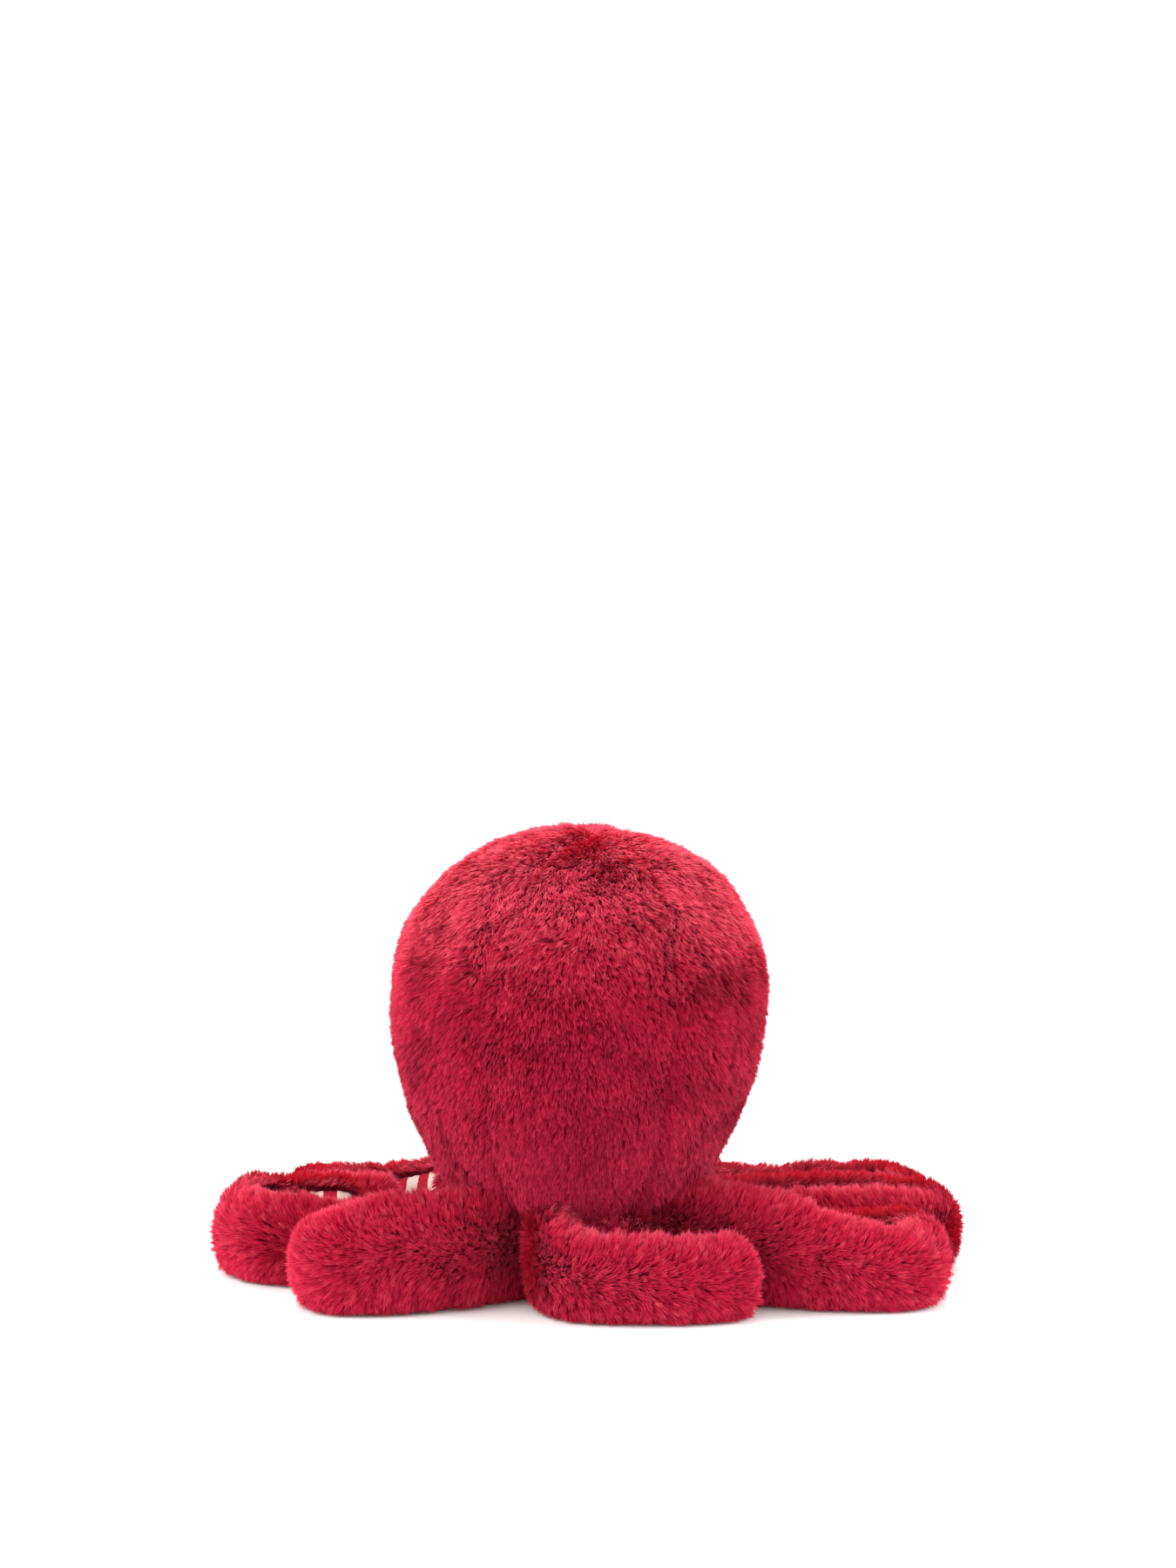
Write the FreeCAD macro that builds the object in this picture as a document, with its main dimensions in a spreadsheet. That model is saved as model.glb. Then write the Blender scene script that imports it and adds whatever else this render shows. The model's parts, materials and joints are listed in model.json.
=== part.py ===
import FreeCAD, Part
import math
import os
import Sketcher

V = FreeCAD.Vector
UP = V(0, 0, 1)

# Soft toy octopus lying with its eight arms curled on the floor, in millimetres.
# The origin is on the floor under the middle of the head. The face looks along +Y.
SIZES = {
    # head: a crown arc, a shoulder arc and a long belly arc turned about the upright axis
    "head_top": 258.0,
    "crown_radius": 135.0,
    "shoulder_radius": 85.0,
    "head_radius": 103.5,
    "belly_radius": 195.0,
    "head_bottom": 53.0,
    "gore_count": 6.0,
    "first_seam": -120.0,
    "plush_wall": 3.5,
    # underside: a round plush dish that closes the head between the arms
    "underside_radius": 36.0,
    "underside_wall": 3.0,
    "bag_height": 33.0,
    "bag_wall": 1.0,
    # safety eyes and mouth
    "eye_radius": 7.0,
    "eye_height": 4.5,
    "eye_spread": 36.0,
    "eye_level": 118.0,
    "stem_radius": 1.6,
    "stem_tail": 5.0,
    "washer_radius": 8.0,
    "washer_thickness": 1.2,
    "washer_gap": 0.5,
    "mouth_level": 92.0,
    "mouth_radius": 13.0,
    "mouth_spread": 110.0,
    "thread_radius": 0.9,
    # arms: one section for all, with a cotton lining let into the inner side of the curl
    "arm_width": 28.0,
    "arm_height": 44.0,
    "arm_corner": 12.0,
    "root_height": 50.0,
    "root_tuck": 22.0,
    "lining_height": 24.0,
    "lining_thickness": 2.0,
    "joint_gap": 0.4,
    "ring_radius": 55.0,
}

# How each arm lies: its place on the ring, its first heading, a long gentle reach, a tight turn
# and the tail that comes back beside it. A positive sweep turns left, seen from above.
# The hinge is the distance along the arm at which it can be lifted.
ARM_FIELDS = ("place", "heading", "reach", "reach_sweep", "turn_radius", "turn_sweep",
              "tail", "tail_sweep", "hinge")
ARMS = {
    "arm_1": (-64.0, 184.0, 21.0, 0.0, 18.5, 156.0, 85.0, 38.0, 94.0),
    "arm_2": (-37.0, -30.0, 135.0, 30.0, 19.5, 180.0, 35.0, 0.0, 75.0),
    "arm_3": (16.0, 20.0, 137.0, -20.0, 18.5, -180.0, 60.0, 0.0, 68.0),
    "arm_4": (47.0, 52.0, 160.0, -52.0, 18.5, -180.0, 30.0, 0.0, 95.0),
    "arm_5": (88.0, 93.0, 105.0, 0.0, 18.0, -180.0, 38.0, 0.0, 57.0),
    "arm_6": (133.0, 122.0, 126.0, 58.0, 18.5, 180.0, 20.0, 0.0, 72.0),
    "arm_7": (185.0, 188.0, 118.0, -8.0, 22.5, -180.0, 32.0, 0.0, 62.0),
    "arm_8": (227.0, 225.0, 100.0, -46.0, 17.5, -178.0, 30.0, 0.0, 42.0),
}
# Most tips roll over at the outermost point of the curl. An arm listed here bends up its tip
# at a second hinge instead, at this distance along it.
TIP_HINGES = {"arm_1": 132.0}

doc = FreeCAD.newDocument("octopus")
sheet = doc.addObject("Spreadsheet::Sheet", "Sizes")
SUBPARTS = []


def fill_sheet():
    rows = dict(SIZES)
    for arm, values in ARMS.items():
        for field, value in zip(ARM_FIELDS, values):
            rows[arm + "_" + field] = value
    for arm, distance in TIP_HINGES.items():
        rows[arm + "_tip_hinge"] = distance
    for row, (name, value) in enumerate(rows.items(), 1):
        sheet.set("A%d" % row, name)
        sheet.set("B%d" % row, str(value))
        sheet.setAlias("B%d" % row, name)
    doc.recompute()


def size(name):
    return float(sheet.get(name))


def keep(obj, label):
    obj.Label = label
    SUBPARTS.append(obj)
    return obj


# ------------------------------------------------------------------ turned pieces

def line(x1, z1, x2, z2):
    return Part.LineSegment(V(x1, z1, 0), V(x2, z2, 0))


def arc(x, z, radius, first, last):
    return Part.ArcOfCircle(Part.Circle(V(x, z, 0), UP, radius), first, last)


def polygon(points):
    """The closed run of straight edges through (x, z) points."""
    return [line(*points[i - 1], *points[i]) for i in range(len(points))]


def meeting_ends(first, second):
    """Which end of one edge meets which end of another, numbered 1 and 2."""
    ends = [(e.StartPoint, e.EndPoint) for e in (first, second)]
    pairs = [(ends[0][a].distanceToPoint(ends[1][b]), a + 1, b + 1) for a in (0, 1) for b in (0, 1)]
    return min(pairs)[1:]


def turned_body(name, edges, bindings, turn="360"):
    """A body turned about Z from a closed outline in the XZ plane.

    bindings lists (constraint kind, its references, the sheet expression that drives it).
    """
    body = doc.addObject("PartDesign::Body", name)
    sketch = body.newObject("Sketcher::SketchObject", name + "_outline")
    plane = [f for f in body.Origin.OriginFeatures if f.Role == "XZ_Plane"][0]
    sketch.AttachmentSupport = (plane, "")
    sketch.MapMode = "FlatFace"
    for edge in edges:
        sketch.addGeometry(edge, False)
    for i in range(len(edges)):
        j = (i + 1) % len(edges)
        end, start = meeting_ends(edges[i], edges[j])
        sketch.addConstraint(Sketcher.Constraint("Coincident", i, end, j, start))
    for number, (kind, references, expression) in enumerate(bindings):
        label = "size_%d" % number
        value = float(sheet.evalExpression(expression))
        slot = sketch.addConstraint(Sketcher.Constraint(kind, *references, value))
        sketch.renameConstraint(slot, label)
        sketch.setExpression("Constraints." + label, expression)
    spin = body.newObject("PartDesign::Revolution", name + "_turned")
    spin.Profile = sketch
    spin.ReferenceAxis = (sketch, ["V_Axis"])
    spin.setExpression("Angle", turn)
    sketch.Visibility = False
    return body


def head_centres():
    """Centres of the crown, shoulder and belly arcs, which run into each other smoothly."""
    crown = V(0, size("head_top") - size("crown_radius"), 0)
    run = size("crown_radius") - size("shoulder_radius")
    out = size("head_radius") - size("shoulder_radius")
    level = crown.y + math.sqrt(run * run - out * out)
    return crown, V(out, level, 0), V(size("head_radius") - size("belly_radius"), level, 0)


def head_arcs(inset):
    """The head's outline from the crown to its lowest edge, moved inward by inset."""
    crown, shoulder, belly = head_centres()
    lean = math.atan2(shoulder.y - crown.y, shoulder.x)
    belly_radius = size("belly_radius") - inset
    fall = math.asin((belly.y - size("head_bottom") - inset) / belly_radius)
    return [
        arc(crown.x, crown.y, size("crown_radius") - inset, lean, math.pi / 2),
        arc(shoulder.x, shoulder.y, size("shoulder_radius") - inset, 0, lean),
        arc(belly.x, belly.y, belly_radius, -fall, 0),
    ]


def surface_radius(level):
    """Radius of the head's outside at a height on the belly arc."""
    centre = head_centres()[2]
    return centre.x + math.sqrt(size("belly_radius") ** 2 - (centre.y - level) ** 2)


def gore_outline():
    wall = size("plush_wall")
    low = size("head_bottom")
    rim = size("underside_radius") - size("underside_wall")
    outer = head_arcs(0)
    inner = head_arcs(wall)
    outer_low = outer[2].StartPoint
    inner_low = inner[2].StartPoint
    return outer + [
        line(outer_low.x, low, rim, low),
        line(rim, low, rim, low + wall),
        line(rim, low + wall, inner_low.x, low + wall),
    ] + inner[::-1] + [line(0, size("head_top") - wall, 0, size("head_top"))]


def filling_outline():
    wall = size("plush_wall")
    rim = size("underside_radius") - size("underside_wall")
    top_of_bag = size("underside_wall") + size("bag_height")
    inner = head_arcs(wall)
    shelf = size("head_bottom") + wall
    return inner + [
        line(inner[2].StartPoint.x, shelf, rim, shelf),
        line(rim, shelf, rim, top_of_bag),
        line(rim, top_of_bag, 0, top_of_bag),
        line(0, top_of_bag, 0, size("head_top") - wall),
    ]


def make_gores():
    radii = [
        ("Radius", (0,), "Sizes.crown_radius"),
        ("Radius", (1,), "Sizes.shoulder_radius"),
        ("Radius", (2,), "Sizes.belly_radius"),
        ("Radius", (6,), "Sizes.belly_radius - Sizes.plush_wall"),
        ("Radius", (7,), "Sizes.shoulder_radius - Sizes.plush_wall"),
        ("Radius", (8,), "Sizes.crown_radius - Sizes.plush_wall"),
    ]
    count = int(size("gore_count"))
    gores = []
    for number in range(count):
        name = "head_gore_%d" % (number + 1)
        gore = turned_body(name + "_cloth", gore_outline(), radii, "360 / Sizes.gore_count")
        seam = "Sizes.first_seam + %d * 360 / Sizes.gore_count" % number
        gore.Placement = FreeCAD.Placement(V(), UP, size("first_seam") + number * 360.0 / count)
        gore.setExpression("Placement.Rotation.Angle", seam)
        gores.append(gore)
    return gores


def make_underside():
    radius, wall = size("underside_radius"), size("underside_wall")
    top = size("head_bottom")
    dish = [(0, 0), (radius, 0), (radius, top), (radius - wall, top), (radius - wall, wall), (0, wall)]
    keep(turned_body("underside_dish", polygon(dish), [
        ("DistanceX", (-1, 1, 1, 2), "Sizes.underside_radius"),
        ("DistanceY", (-1, 1, 2, 2), "Sizes.head_bottom"),
    ]), "underside_panel")


def make_pellet_bag():
    floor = size("underside_wall")
    radius = size("underside_radius") - size("underside_wall")
    top = floor + size("bag_height")
    skin = size("bag_wall")
    outside = [(0, floor), (radius, floor), (radius, top), (0, top)]
    bag = turned_body("bag_outside", polygon(outside), [
        ("DistanceX", (-1, 1, 1, 2), "Sizes.underside_radius - Sizes.underside_wall"),
    ])
    inside = [(0, floor + skin), (radius - skin, floor + skin), (radius - skin, top - skin), (0, top - skin)]
    pellets = turned_body("pellet_heap", polygon(inside), [
        ("DistanceX", (-1, 1, 1, 2),
         "Sizes.underside_radius - Sizes.underside_wall - Sizes.bag_wall"),
    ])
    keep(pellets, "pellets")
    keep(cut("pellet_bag_skin", bag, pellets), "pellet_bag")


def cut(name, base, tool):
    result = doc.addObject("Part::Cut", name)
    result.Base = base
    result.Tool = tool
    return result


def fused(name, shapes):
    result = doc.addObject("Part::MultiFuse", name)
    result.Shapes = shapes
    return result


# ------------------------------------------------------------------ face

def eye_frame(side):
    """Placement on the head's surface with its own +Z pointing straight out of the cloth."""
    level = size("eye_level")
    across = side * size("eye_spread")
    radius = surface_radius(level)
    point = V(across, math.sqrt(radius * radius - across * across), level)
    belly = head_centres()[2]
    tilt = math.asin((level - belly.y) / size("belly_radius"))
    outward = V(point.x, point.y, 0).normalize() * math.cos(tilt) + UP * math.sin(tilt)
    return FreeCAD.Placement(point, FreeCAD.Rotation(UP, outward))


def stem_length():
    return size("plush_wall") + size("washer_gap") + size("washer_thickness") + size("stem_tail")


def eye_disc(name, side, radius_alias, depth, length):
    """A cylinder on an eye's axis, starting at a depth under the cloth's surface."""
    disc = doc.addObject("Part::Cylinder", name)
    disc.setExpression("Radius", "Sizes." + radius_alias)
    disc.Height = length
    disc.Placement = eye_frame(side).multiply(FreeCAD.Placement(V(0, 0, -depth - length), UP, 0))
    return disc


def make_eyes(front_gore, filling):
    radius, height, stem = size("eye_radius"), size("eye_height"), size("stem_radius")
    dome = (radius * radius + height * height) / (2 * height)
    rise = math.atan2(dome - height, radius)
    holes = []
    pockets = []
    washers = []
    for side, word in ((-1, "left"), (1, "right")):
        edges = [
            arc(0, height - dome, dome, rise, math.pi / 2),
            line(radius, 0, stem, 0),
            line(stem, 0, stem, -stem_length()),
            line(stem, -stem_length(), 0, -stem_length()),
            line(0, -stem_length(), 0, height),
        ]
        eye = turned_body("%s_eye_dome" % word, edges, [("DistanceX", (-1, 1, 2, 1), "Sizes.stem_radius")])
        eye.Placement = eye_frame(side)
        keep(eye, "eye_%s" % word)
        holes.append(eye_disc(word + "_stem_hole", side, "stem_radius", -1, stem_length() + 1))
        depth = size("plush_wall") + size("washer_gap")
        seat = (depth, size("washer_thickness"))
        pockets.append(eye_disc(word + "_washer_seat", side, "washer_radius", *seat))
        blank = eye_disc(word + "_washer_blank", side, "washer_radius", *seat)
        bore = eye_disc(word + "_washer_bore", side, "stem_radius", depth - 1, size("washer_thickness") + 2)
        washers.append(cut(word + "_washer", blank, bore))
    keep(cut("front_gore_pierced", front_gore, fused("stem_holes", holes)), front_gore.Name[:-len("_cloth")])
    rooms = [eye_disc(w + "_stem_room", s, "stem_radius", -1, stem_length() + 1)
             for s, w in ((-1, "left"), (1, "right"))]
    keep(cut("filling_pierced", filling, fused("eye_rooms", pockets + rooms)), "head_filling")
    pair = doc.addObject("Part::Compound", "washer_pair")
    pair.Links = washers
    keep(pair, "eye_washers")


def make_mouth():
    """A stitched smile: part of a thread ring, standing on the cloth and tilted to follow it."""
    level = size("mouth_level")
    belly = head_centres()[2]
    tilt = math.asin((level - belly.y) / size("belly_radius"))
    outward = V(0, math.cos(tilt), math.sin(tilt))
    mouth = doc.addObject("Part::Torus", "mouth_ring")
    mouth.setExpression("Radius1", "Sizes.mouth_radius")
    mouth.setExpression("Radius2", "Sizes.thread_radius")
    mouth.setExpression("Angle3", "Sizes.mouth_spread")
    lift = size("thread_radius")
    foot = V(0, surface_radius(level), level) + outward * lift
    face_on = FreeCAD.Rotation(UP, outward)
    start = face_on.inverted().multVec(V(0, outward.z, -outward.y).cross(outward).normalize())
    turn = math.degrees(math.atan2(start.y, start.x)) - 90 - size("mouth_spread") / 2
    centre = foot + V(0, -outward.z, outward.y) * size("mouth_radius")
    mouth.Placement = FreeCAD.Placement(centre, face_on.multiply(FreeCAD.Rotation(UP, turn)))
    keep(mouth, "mouth_thread")


# ------------------------------------------------------------------ arms

def arm_size(arm, field):
    return size(arm + "_" + field)


def turn_length(arm):
    return abs(math.radians(arm_size(arm, "turn_sweep"))) * arm_size(arm, "turn_radius")


def arm_runs(arm):
    """The arm's centre line as runs of (length, sweep in degrees)."""
    return [
        (size("root_tuck"), 0.0),
        (arm_size(arm, "reach"), arm_size(arm, "reach_sweep")),
        (turn_length(arm), arm_size(arm, "turn_sweep")),
        (arm_size(arm, "tail"), arm_size(arm, "tail_sweep")),
    ]


def apex(arm):
    """Distance along the arm to the outermost point of its curl."""
    return arm_size(arm, "reach") + turn_length(arm) / 2


def tip(arm):
    return arm_size(arm, "reach") + turn_length(arm) + arm_size(arm, "tail")


def direction(degrees):
    return V(math.cos(math.radians(degrees)), math.sin(math.radians(degrees)), 0)


def step_on(point, heading, length, sweep):
    """Where a run of one length and sweep leads to."""
    if sweep == 0:
        return point + direction(heading) * length, heading
    radius = length / math.radians(sweep)
    centre = point + direction(heading + 90) * radius
    return centre - direction(heading + sweep + 90) * radius, heading + sweep


def arm_stretch(arm, start, stop):
    """The runs between two distances along the arm, each with the point and heading it starts at."""
    heading = arm_size(arm, "heading")
    point = direction(arm_size(arm, "place")) * size("ring_radius")
    point = point - direction(heading) * size("root_tuck")
    done = -size("root_tuck")
    stretch = []
    for length, sweep in arm_runs(arm):
        low, high = max(start, done), min(stop, done + length)
        if high - low > 1e-6:
            bend = sweep / length
            first = step_on(point, heading, low - done, bend * (low - done)) if low > done else (point, heading)
            stretch.append((first[0], first[1], high - low, bend * (high - low)))
        point, heading = step_on(point, heading, length, sweep)
        done += length
    return stretch


def arm_frame(arm, distance):
    """Point on the floor line and heading at a distance along the arm."""
    point, heading, length, sweep = arm_stretch(arm, distance - 1, distance)[-1]
    return step_on(point, heading, length, sweep)


def rounded_face(left, right, low, high, corner):
    """A rounded rectangle across the arm: Y to the left and Z up."""
    if corner == 0:
        points = [V(0, right, low), V(0, left, low), V(0, left, high), V(0, right, high), V(0, right, low)]
        return Part.Face(Part.makePolygon(points))
    slant = corner * (1 - math.sqrt(0.5))
    corners = [(left, high, -1, -1), (right, high, 1, -1), (right, low, 1, 1), (left, low, -1, 1)]
    arcs = []
    for y, z, inward_y, inward_z in corners:
        near = V(0, y + inward_y * corner, z)
        far = V(0, y, z + inward_z * corner)
        middle = V(0, y + inward_y * slant, z + inward_z * slant)
        ends = (far, middle, near) if inward_y * inward_z > 0 else (near, middle, far)
        arcs.append(ends)
    edges = []
    for number, ends in enumerate(arcs):
        edges.append(Part.LineSegment(arcs[number - 1][2], ends[0]).toShape())
        edges.append(Part.Arc(*ends).toShape())
    return Part.Face(Part.Wire(Part.__sortEdges__(edges)))


def outer_face(height):
    half = size("arm_width") / 2
    return rounded_face(half, -half, 0, height, size("arm_corner"))


def inner_face(height):
    wall = size("plush_wall")
    half = size("arm_width") / 2 - wall
    return rounded_face(half, -half, wall, height - wall, size("arm_corner") - wall)


def curl_side(arm):
    return math.copysign(1, arm_size(arm, "turn_sweep"))


def side_strip(arm, near, far):
    """A strip on the inner side of the curl, between two distances from the middle."""
    middle = size("arm_height") / 2
    half = size("lining_height") / 2
    ends = sorted((curl_side(arm) * near, curl_side(arm) * far))
    return rounded_face(ends[1], ends[0], middle - half, middle + half, 0)


def cover_face(arm):
    wall_face = outer_face(size("arm_height")).cut(inner_face(size("arm_height")))
    half = size("arm_width") / 2
    return wall_face.cut(side_strip(arm, half - size("plush_wall"), half)).Faces[0]


def lining_face(arm):
    near = size("arm_width") / 2 - size("plush_wall")
    return side_strip(arm, near, near + size("lining_thickness"))


def swept(face, arm, start, stop):
    """A face carried along the arm, as straight and turned pieces joined end to end."""
    pieces = []
    for point, heading, length, sweep in arm_stretch(arm, start, stop):
        placed = face.copy()
        placed.Placement = FreeCAD.Placement(point, UP, heading)
        if sweep == 0:
            pieces.append(placed.extrude(direction(heading) * length))
            continue
        centre = point + direction(heading + 90) * (length / math.radians(sweep))
        pieces.append(placed.revolve(centre, UP * math.copysign(1, sweep), abs(sweep)))
    if len(pieces) == 1:
        return pieces[0]
    return pieces[0].fuse(pieces[1:]).removeSplitter()


def tip_cap(face, arm):
    """The rounded end of an arm: half a section turned about an upright line."""
    half = face.common(Part.makeBox(2, 200, 400, V(-1, 0, -100))).Faces[0]
    point, heading = arm_frame(arm, tip(arm))
    half.Placement = FreeCAD.Placement(point, UP, heading)
    return half.revolve(point, -UP, 180)


def hinge_roll(arm, distance, clearance):
    """A cylinder lying across the arm at a hinge, as thick as the arm is high."""
    point, heading = arm_frame(arm, distance)
    radius = size("arm_height") / 2
    across = direction(heading + 90)
    foot = point - across * size("arm_height") + UP * radius
    return Part.makeCylinder(radius + clearance, 2 * size("arm_height"), foot, across)


def behind_hinge(arm, distance):
    """What is cut away so that the inner end of a moving piece is round about its hinge."""
    point, heading = arm_frame(arm, distance)
    reach = size("arm_height")
    block = Part.makeBox(reach, 2 * reach, 3 * reach, V(-reach, -reach, -reach))
    block.Placement = FreeCAD.Placement(point, UP, heading)
    return block.cut(hinge_roll(arm, distance, 0))


def hinged_start(arm, distance):
    return distance - size("arm_height") / 2


def hinged_end(arm, distance):
    """Where the piece before a hinge stops, clear of the round end of the next one."""
    return hinged_start(arm, distance) - size("joint_gap")


def upper_piece(face, arm):
    """The stretch that lifts at the arm's hinge, as far as the tip's own joint."""
    hinge = arm_size(arm, "hinge")
    if arm not in TIP_HINGES:
        solid = swept(face, arm, hinged_start(arm, hinge), apex(arm) - size("joint_gap") / 2)
        return solid.cut(behind_hinge(arm, hinge))
    second = arm_size(arm, "tip_hinge")
    solid = swept(face, arm, hinged_start(arm, hinge), hinged_end(arm, second))
    return solid.cut(behind_hinge(arm, hinge)).cut(hinge_roll(arm, second, size("joint_gap")))


def tip_piece(face, arm):
    if arm not in TIP_HINGES:
        return swept(face, arm, apex(arm) + size("joint_gap") / 2, tip(arm))
    second = arm_size(arm, "tip_hinge")
    return swept(face, arm, hinged_start(arm, second), tip(arm)).cut(behind_hinge(arm, second))


def add_shape(name, label, shape):
    feature = doc.addObject("Part::Feature", name)
    feature.Shape = shape
    return keep(feature, label)


def make_arm(arm):
    cover = cover_face(arm)
    lining = lining_face(arm)
    inside = inner_face(size("arm_height"))
    ring = outer_face(size("arm_height")).cut(inside).Faces[0]
    hinge = arm_size(arm, "hinge")
    wad = swept(inside, arm, hinged_start(arm, hinge), tip(arm)).cut(behind_hinge(arm, hinge))
    add_shape(arm + "_a", arm + "_upper_cover", upper_piece(cover, arm))
    add_shape(arm + "_b", arm + "_upper_lining", upper_piece(lining, arm))
    add_shape(arm + "_c", arm + "_tip_cover", tip_piece(cover, arm).fuse(tip_cap(ring, arm)).removeSplitter())
    add_shape(arm + "_d", arm + "_tip_lining", tip_piece(lining, arm))
    add_shape(arm + "_e", arm + "_filling", wad.fuse(tip_cap(inside, arm)).removeSplitter())


def make_roots():
    """The sewn-down roots of all the arms, which run together around the underside."""
    height = size("root_height")
    core = Part.makeCylinder(size("underside_radius"), 2 * height, V(0, 0, -height / 2))
    outsides = []
    insides = []
    for arm in ARMS:
        hinge = arm_size(arm, "hinge")
        stretch = (-size("root_tuck"), hinged_end(arm, hinge))
        room = hinge_roll(arm, hinge, size("joint_gap"))
        outsides.append(swept(outer_face(height), arm, *stretch).cut(room))
        insides.append(swept(inner_face(height), arm, *stretch).cut(room))
    padding = insides[0].fuse(insides[1:]).cut(core).removeSplitter()
    collar = outsides[0].fuse(outsides[1:]).cut(core).cut(padding).removeSplitter()
    add_shape("root_cloth", "arm_root_covers", collar)
    add_shape("root_wads", "arm_root_fillings", padding)


def build():
    fill_sheet()
    gores = make_gores()
    front = len(gores) // 2
    for number, gore in enumerate(gores):
        if number != front:
            keep(gore, gore.Name[:-len("_cloth")])
    filling = turned_body("head_wad", filling_outline(), [
        ("Radius", (0,), "Sizes.crown_radius - Sizes.plush_wall"),
        ("Radius", (1,), "Sizes.shoulder_radius - Sizes.plush_wall"),
        ("Radius", (2,), "Sizes.belly_radius - Sizes.plush_wall"),
    ])
    doc.recompute()
    make_eyes(gores[front], filling)
    make_mouth()
    make_underside()
    make_pellet_bag()
    make_roots()
    for arm in ARMS:
        make_arm(arm)
    doc.recompute()


def check():
    for obj in doc.Objects:
        if "Invalid" in obj.State or "Error" in obj.State:
            raise RuntimeError("%s failed: %s" % (obj.Name, obj.State))
    for obj in SUBPARTS:
        if obj.Shape.isNull() or not obj.Shape.isValid() or obj.Shape.Volume <= 0:
            raise RuntimeError("%s has no sound shape" % obj.Label)


def write():
    os.makedirs("parts", exist_ok=True)
    for obj in SUBPARTS:
        obj.Shape.exportStep("parts/%s.step" % obj.Label)
        print("%-24s %3d solid(s) %10.0f mm3" % (obj.Label, len(obj.Shape.Solids), obj.Shape.Volume))


build()
check()
write()
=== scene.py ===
import json
import math

import bpy
import numpy as np
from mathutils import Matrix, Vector, kdtree


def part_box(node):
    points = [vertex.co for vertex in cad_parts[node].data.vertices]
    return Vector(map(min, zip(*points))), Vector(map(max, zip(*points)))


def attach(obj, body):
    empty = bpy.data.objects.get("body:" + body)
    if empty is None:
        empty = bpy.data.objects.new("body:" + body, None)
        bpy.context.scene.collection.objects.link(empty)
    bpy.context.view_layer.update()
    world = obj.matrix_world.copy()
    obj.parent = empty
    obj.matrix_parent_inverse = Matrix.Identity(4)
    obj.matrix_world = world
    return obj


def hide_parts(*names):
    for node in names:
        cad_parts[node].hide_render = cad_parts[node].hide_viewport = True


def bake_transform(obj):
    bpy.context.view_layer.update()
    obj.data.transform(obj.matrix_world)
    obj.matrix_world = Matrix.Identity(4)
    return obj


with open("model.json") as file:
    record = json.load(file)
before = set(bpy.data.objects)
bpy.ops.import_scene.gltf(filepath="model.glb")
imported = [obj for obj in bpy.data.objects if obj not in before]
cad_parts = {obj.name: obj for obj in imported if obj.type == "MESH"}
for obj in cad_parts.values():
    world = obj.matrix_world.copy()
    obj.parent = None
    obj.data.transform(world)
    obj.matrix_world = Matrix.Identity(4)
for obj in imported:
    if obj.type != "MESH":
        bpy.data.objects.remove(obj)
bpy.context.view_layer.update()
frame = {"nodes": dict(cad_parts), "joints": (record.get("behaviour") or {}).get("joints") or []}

# ------------------------------------------------------------------ sizes, in millimetres
MM = 0.001

# head, turned from three arcs that run into each other
HEAD_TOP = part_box("head_gore_1")[1].z / MM
HEAD_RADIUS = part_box("head_gore_3")[1].x / MM
HEAD_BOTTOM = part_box("head_gore_1")[0].z / MM
CROWN_RADIUS, SHOULDER_RADIUS, BELLY_RADIUS = 135.0, 85.0, 195.0
HEAD_MIDDLE = 165.0  # the height from which the head's surface is measured
GORES = 6
FIRST_SEAM = -120.0  # degrees
CROWN_TILT = 8.0  # degrees that the crown of the seams sits off the top, towards +X
HEAD_LEAN = 0.03  # sideways shift for each millimetre of height
SEAM_DEPTH, SEAM_REACH = 1.5, 4.0
HEAD_INSET = 2.2  # the cloth lies this far inside the outline, and the pile stands out again
HEAD_PILE = 8.0
WADDING_INSET = 9.0
GORE_ROWS, GORE_COLUMNS = 46, 150

# arms: place on the ring, heading, reach, its sweep, turn radius, turn sweep, tail, its sweep
ARMS = {
    "arm_1": (-64.0, 184.0, 21.0, 0.0, 18.5, 156.0, 85.0, 38.0),
    "arm_2": (-37.0, -30.0, 135.0, 30.0, 19.5, 180.0, 35.0, 0.0),
    "arm_3": (16.0, 20.0, 137.0, -20.0, 18.5, -180.0, 60.0, 0.0),
    "arm_4": (47.0, 52.0, 160.0, -52.0, 18.5, -180.0, 30.0, 0.0),
    "arm_5": (88.0, 93.0, 105.0, 0.0, 18.0, -180.0, 38.0, 0.0),
    "arm_6": (133.0, 122.0, 126.0, 58.0, 18.5, 180.0, 20.0, 0.0),
    "arm_7": (185.0, 188.0, 118.0, -8.0, 22.5, -180.0, 32.0, 0.0),
    "arm_8": (227.0, 225.0, 100.0, -46.0, 17.5, -178.0, 30.0, 0.0),
}
RING_RADIUS, ROOT_TUCK = 55.0, 22.0
ARM_HALF_WIDTH = 10.5
ARM_FOOT = 3.0
# crest's height at the root and at the tail, the distances between which it falls, and the
# upper edge of the lining in degrees
CRESTS = {
    "arm_1": (60.0, 40.0, 32.0, 85.0, 58.0),
    "arm_2": (61.0, 40.0, 30.0, 145.0, 58.0),
    "arm_3": (45.0, 43.0, 40.0, 140.0, 58.0),
    "arm_4": (44.0, 35.0, 45.0, 90.0, 72.0),
    "arm_5": (42.0, 38.0, 20.0, 80.0, 58.0),
    "arm_6": (47.0, 37.0, 50.0, 110.0, 62.0),
    "arm_7": (42.0, 46.0, 118.0, 180.0, 66.0),
    "arm_8": (61.0, 36.0, 75.0, 160.0, 58.0),
}
ROOT_END_CREST = 42.0
ARM_ROUND_END = 12.0
ARM_SQUARENESS = 2.6  # exponent of the section: 2 is an ellipse
ARM_PILE = 9.5
WADDING_GAP = 2.5  # between an arm's cloth and its filling
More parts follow.
